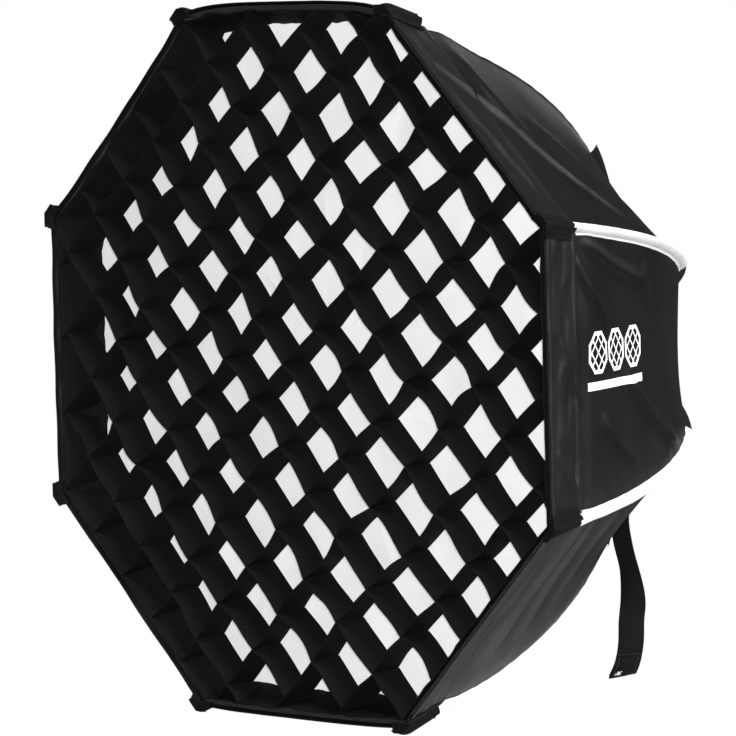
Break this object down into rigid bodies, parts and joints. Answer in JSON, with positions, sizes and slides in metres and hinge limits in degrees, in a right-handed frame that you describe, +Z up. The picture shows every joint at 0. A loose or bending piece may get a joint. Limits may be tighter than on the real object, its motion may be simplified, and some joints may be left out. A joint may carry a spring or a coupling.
{
  "type": "softbox with honeycomb grid",
  "caption": "Folding octagonal fabric light modifier with a diffuser and a removable square-cell fabric honeycomb grid that narrows the spread of a studio lamp.",
  "frame": {"origin": "centre of the lamp-side seat of the mounting ring", "axes": "+Y along the lamp axis towards the lamp, so the grid faces -Y; +Z up; +X to the right when looking at the lamp along +Y"},
  "size_m": [0.5568, 0.3793, 0.5568],
  "materials": {
    "shell_cloth": "coated nylon, slight sheen",
    "grid_cloth": "matt woven",
    "fastening_tape": "hook and loop tape",
    "white_cloth": "translucent white woven",
    "webbing": "woven webbing",
    "bare_metal": "machined",
    "rod": "drawn rod",
    "black_metal": "satin black",
    "black_plastic": "moulded"
  },
  "bodies": {
    "lamp_ring": {"bayonet_ring": "bare_metal", "retainer_ring": "black_metal"},
    "shell": {"speed_ring": "black_metal", "lip_band": "shell_cloth", "lip_loop_tape": "fastening_tape", "gore_1": "shell_cloth", "gore_2": "shell_cloth", "gore_3": "shell_cloth", "gore_4": "shell_cloth", "gore_5": "shell_cloth", "gore_6": "shell_cloth", "gore_7": "shell_cloth", "gore_8": "shell_cloth"},
    "knob": {"clamp_knob": "black_plastic", "clamp_screw": "bare_metal"},
    "front_cloth": {"diffuser_sheet": "white_cloth", "diffuser_hem": "fastening_tape"},
    "grid": {"grid_border": "grid_cloth", "grid_hook_tape": "fastening_tape", "grid_strip_rising_01": "grid_cloth", "grid_strip_rising_02": "grid_cloth", "grid_strip_rising_03": "grid_cloth", "grid_strip_rising_04": "grid_cloth", "grid_strip_rising_05": "grid_cloth", "grid_strip_rising_06": "grid_cloth", "grid_strip_rising_07": "grid_cloth", "grid_strip_rising_08": "grid_cloth", "grid_strip_rising_09": "grid_cloth", "grid_strip_rising_10": "grid_cloth", "grid_strip_rising_11": "grid_cloth", "grid_strip_falling_01": "grid_cloth", "grid_strip_falling_02": "grid_cloth", "grid_strip_falling_03": "grid_cloth", "grid_strip_falling_04": "grid_cloth", "grid_strip_falling_05": "grid_cloth", "grid_strip_falling_06": "grid_cloth", "grid_strip_falling_07": "grid_cloth", "grid_strip_falling_08": "grid_cloth", "grid_strip_falling_09": "grid_cloth", "grid_strip_falling_10": "grid_cloth", "grid_strip_falling_11": "grid_cloth"},
    "strap": {"storage_strap": "webbing", "strap_snap": "bare_metal"},
    "rib_1": {"rib_rod_1": "rod", "rib_heel_1": "black_metal"},
    "rib_2": {"rib_rod_2": "rod", "rib_heel_2": "black_metal"},
    "rib_3": {"rib_rod_3": "rod", "rib_heel_3": "black_metal"},
    "rib_4": {"rib_rod_4": "rod", "rib_heel_4": "black_metal"},
    "rib_5": {"rib_rod_5": "rod", "rib_heel_5": "black_metal"},
    "rib_6": {"rib_rod_6": "rod", "rib_heel_6": "black_metal"},
    "rib_7": {"rib_rod_7": "rod", "rib_heel_7": "black_metal"},
    "rib_8": {"rib_rod_8": "rod", "rib_heel_8": "black_metal"}
  },
  "joints": [
    {"name": "spin_on_lamp", "type": "hinge", "parent": "lamp_ring", "child": "shell", "pos_m": [0, 0, 0], "axis": [0, 1, 0], "continuous": true},
    {"name": "clamp_turn", "type": "hinge", "parent": "shell", "child": "knob", "pos_m": [0, -0.0165, -0.08], "axis": [0, 0, -1], "range_deg": [0, 540]},
    {"name": "front_fold", "type": "slide", "parent": "shell", "child": "front_cloth", "axis": [0, -1, 0], "range_m": [0, 0.16], "deforming": ["gore_1", "gore_2", "gore_3", "gore_4", "gore_5", "gore_6", "gore_7", "gore_8", "lip_band", "lip_loop_tape", "diffuser_sheet", "diffuser_hem", "grid_border", "grid_hook_tape", "grid_strip_rising_01", "grid_strip_rising_02", "grid_strip_rising_03", "grid_strip_rising_04", "grid_strip_rising_05", "grid_strip_rising_06", "grid_strip_rising_07", "grid_strip_rising_08", "grid_strip_rising_09", "grid_strip_rising_10", "grid_strip_rising_11", "grid_strip_falling_01", "grid_strip_falling_02", "grid_strip_falling_03", "grid_strip_falling_04", "grid_strip_falling_05", "grid_strip_falling_06", "grid_strip_falling_07", "grid_strip_falling_08", "grid_strip_falling_09", "grid_strip_falling_10", "grid_strip_falling_11"]},
    {"name": "grid_pull", "type": "slide", "parent": "front_cloth", "child": "grid", "axis": [0, -1, 0], "range_m": [0, 0.12]},
    {"name": "strap_swing", "type": "hinge", "parent": "shell", "child": "strap", "pos_m": [0.054, -0.041, -0.112], "axis": [1, 0, 0], "range_deg": [-25, 60]},
    {"name": "rib_fold_1", "type": "hinge", "parent": "shell", "child": "rib_1", "pos_m": [0.07588, -0.02925, 0.03143], "axis": [0.3827, 0, -0.9239], "range_deg": [0, 34.5]},
    {"name": "rib_fold_2", "type": "hinge", "parent": "shell", "child": "rib_2", "pos_m": [0.03143, -0.02925, 0.07588], "axis": [0.9239, 0, -0.3827], "range_deg": [0, 34.5]},
    {"name": "rib_fold_3", "type": "hinge", "parent": "shell", "child": "rib_3", "pos_m": [-0.03143, -0.02925, 0.07588], "axis": [0.9239, 0, 0.3827], "range_deg": [0, 34.5]},
    {"name": "rib_fold_4", "type": "hinge", "parent": "shell", "child": "rib_4", "pos_m": [-0.07588, -0.02925, 0.03143], "axis": [0.3827, 0, 0.9239], "range_deg": [0, 34.5]},
    {"name": "rib_fold_5", "type": "hinge", "parent": "shell", "child": "rib_5", "pos_m": [-0.07588, -0.02925, -0.03143], "axis": [-0.3827, 0, 0.9239], "range_deg": [0, 34.5]},
    {"name": "rib_fold_6", "type": "hinge", "parent": "shell", "child": "rib_6", "pos_m": [-0.03143, -0.02925, -0.07588], "axis": [-0.9239, 0, 0.3827], "range_deg": [0, 34.5]},
    {"name": "rib_fold_7", "type": "hinge", "parent": "shell", "child": "rib_7", "pos_m": [0.03143, -0.02925, -0.07588], "axis": [-0.9239, 0, -0.3827], "range_deg": [0, 34.5]},
    {"name": "rib_fold_8", "type": "hinge", "parent": "shell", "child": "rib_8", "pos_m": [0.07588, -0.02925, -0.03143], "axis": [-0.3827, 0, -0.9239], "range_deg": [0, 34.5]}
  ],
  "couplings": [
    {"joint": "rib_fold_1", "follows": "front_fold", "rad_per_m": 3.7088},
    {"joint": "rib_fold_2", "follows": "front_fold", "rad_per_m": 3.7088},
    {"joint": "rib_fold_3", "follows": "front_fold", "rad_per_m": 3.7088},
    {"joint": "rib_fold_4", "follows": "front_fold", "rad_per_m": 3.7088},
    {"joint": "rib_fold_5", "follows": "front_fold", "rad_per_m": 3.7088},
    {"joint": "rib_fold_6", "follows": "front_fold", "rad_per_m": 3.7088},
    {"joint": "rib_fold_7", "follows": "front_fold", "rad_per_m": 3.7088},
    {"joint": "rib_fold_8", "follows": "front_fold", "rad_per_m": 3.7088}
  ]
}
